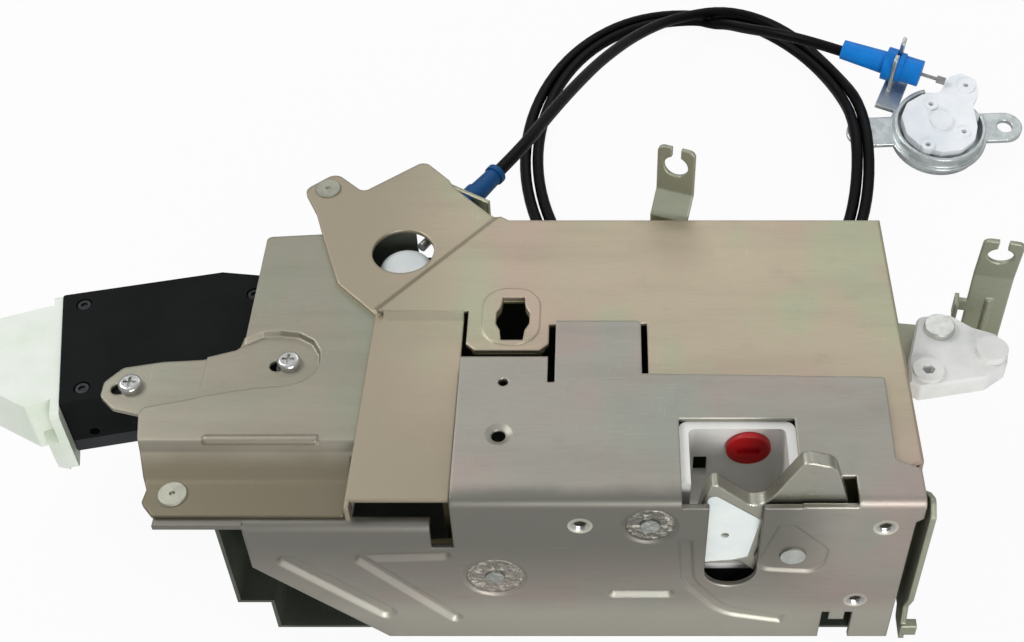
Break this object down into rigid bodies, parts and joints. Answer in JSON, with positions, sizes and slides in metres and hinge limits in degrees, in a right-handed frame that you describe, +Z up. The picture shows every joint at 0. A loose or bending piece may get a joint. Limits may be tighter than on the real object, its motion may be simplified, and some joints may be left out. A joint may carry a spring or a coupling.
{
  "type": "door latch actuator",
  "caption": "Door latch with a claw and keeper behind a bent shut face, a side motor module, and a coiled pull cable that ends in a key lever unit.",
  "frame": {"origin": "centre of the threaded fixing hole nearest the mouth, on the outside of the shut face", "axes": "+X along the shut face towards the striker's side, +Y into the body, +Z up, out of the cover"},
  "size_m": [0.4048, 0.3595, 0.0996],
  "materials": {
    "zinc_face": "satin",
    "zinc_cover": "satin",
    "zinc_side": "satin",
    "zinc_dull": "satin",
    "zinc_bright": "bright",
    "pin_steel": "satin",
    "spring_steel": "satin",
    "screw_zinc": "bright",
    "screw_black": "satin",
    "case_dark": "satin",
    "white_plastic": "satin",
    "red_plastic": "satin",
    "buffer_rubber": "matt",
    "module_black": "matt",
    "motor_steel": "satin",
    "connector_milky": "satin",
    "pin_tin": "bright",
    "fitting_blue": "satin",
    "cable_black": "satin"
  },
  "bodies": {
    "body": {"latch_plate": "zinc_face", "backing_plate": "zinc_dull", "cover_plate": "zinc_cover", "key_tongue": "zinc_face", "side_plate": "zinc_side", "casing": "case_dark", "striker_liner": "white_plastic", "stop_buffer": "buffer_rubber", "claw_pin": "pin_steel", "claw_spring": "spring_steel", "keeper_pin": "pin_steel", "keeper_spring": "spring_steel", "lever_pin": "pin_steel", "mount_screws": "screw_zinc", "cover_rivets": "screw_zinc", "cam_bracket": "zinc_dull", "module_housing": "module_black", "module_base": "module_black", "module_screws": "screw_black", "motor": "motor_steel", "connector_shell": "connector_milky", "connector_pins": "pin_tin", "clip_bracket_rear": "zinc_dull", "clip_bracket_right": "zinc_dull", "lever_bracket": "zinc_dull", "crank_pin": "pin_steel", "side_lever_pin": "pin_steel", "cable_fitting_near": "fitting_blue", "cable_clip": "zinc_cover", "cable_lead": "cable_black", "cable_coil": "cable_black", "cable_tail": "cable_black", "cable_fitting_far": "fitting_blue", "key_bracket": "zinc_bright", "key_pin": "pin_steel"},
    "claw": {"claw": "zinc_bright", "claw_skin": "white_plastic"},
    "keeper": {"keeper": "zinc_bright"},
    "release": {"release_lever": "zinc_dull"},
    "side_lever": {"side_lever": "zinc_dull"},
    "crank": {"bell_crank": "white_plastic"},
    "lock_button": {"lock_button": "red_plastic"},
    "key": {"key_lever": "white_plastic"},
    "key_wire": {"key_wire": "pin_steel"},
    "cam": {"key_cam": "white_plastic"},
    "cam_wire": {"cam_wire": "pin_steel"},
    "worm": {"motor_worm": "motor_steel"},
    "gear": {"worm_gear": "white_plastic"}
  },
  "joints": [
    {"name": "claw_turn", "type": "hinge", "parent": "body", "child": "claw", "pos_m": [0.0674, 0.0053, -0.0169], "axis": [0, -1, 0], "range_deg": [0, 55], "stiffness_Nm_per_rad": 0.2, "springref_deg": -22.92},
    {"name": "release_turn", "type": "hinge", "parent": "body", "child": "release", "pos_m": [-0.0277, 0.0095, -0.0288], "axis": [0, -1, 0], "range_deg": [-6, 12], "stiffness_Nm_per_rad": 0.1},
    {"name": "keeper_turn", "type": "hinge", "parent": "body", "child": "keeper", "pos_m": [0.0217, 0.0095, -0.0005], "axis": [0, 1, 0], "range_deg": [-12.6, 25.2]},
    {"name": "side_lever_turn", "type": "hinge", "parent": "body", "child": "side_lever", "pos_m": [0.1036, 0.062, -0.022], "axis": [-1, 0, 0], "range_deg": [0, 5]},
    {"name": "crank_turn", "type": "hinge", "parent": "body", "child": "crank", "pos_m": [0.1242, 0.0845, -0.005], "axis": [0, 0, 1], "range_deg": [0, 20]},
    {"name": "lock_turn", "type": "hinge", "parent": "body", "child": "lock_button", "pos_m": [0.0538, 0.032, 0.0017], "axis": [0, 1, 0], "range_deg": [0, 90]},
    {"name": "key_turn", "type": "hinge", "parent": "body", "child": "key", "pos_m": [0.1587, 0.25483, -0.05625], "axis": [0, -0.2079, 0.9781], "range_deg": [0, 12]},
    {"name": "key_wire_slide", "type": "slide", "parent": "body", "child": "key_wire", "axis": [-0.9198, 0.3838, 0.0816], "range_m": [0, 0.0046]},
    {"name": "cam_wire_slide", "type": "slide", "parent": "body", "child": "cam_wire", "axis": [-0.5299, -0.848, 0], "range_m": [0, 0.0046]},
    {"name": "cam_turn", "type": "hinge", "parent": "body", "child": "cam", "pos_m": [-0.052, 0.108, -0.005], "axis": [0, 0, 1], "range_deg": [0, 21]},
    {"name": "gear_turn", "type": "hinge", "parent": "body", "child": "gear", "pos_m": [-0.12663, 0.08227, -0.0105], "axis": [0, 0, 1], "range_deg": [0, 90]},
    {"name": "worm_turn", "type": "hinge", "parent": "body", "child": "worm", "pos_m": [-0.14159, 0.09493, -0.0105], "axis": [0.9781, 0.2079, 0], "range_deg": [0, 2700]}
  ],
  "couplings": [
    {"joint": "keeper_turn", "follows": "release_turn", "ratio": 2.1},
    {"joint": "key_wire_slide", "follows": "key_turn", "m_per_rad": 0.02155},
    {"joint": "cam_wire_slide", "follows": "key_turn", "m_per_rad": 0.02155},
    {"joint": "cam_turn", "follows": "key_turn", "ratio": 1.71},
    {"joint": "worm_turn", "follows": "gear_turn", "ratio": 30}
  ]
}
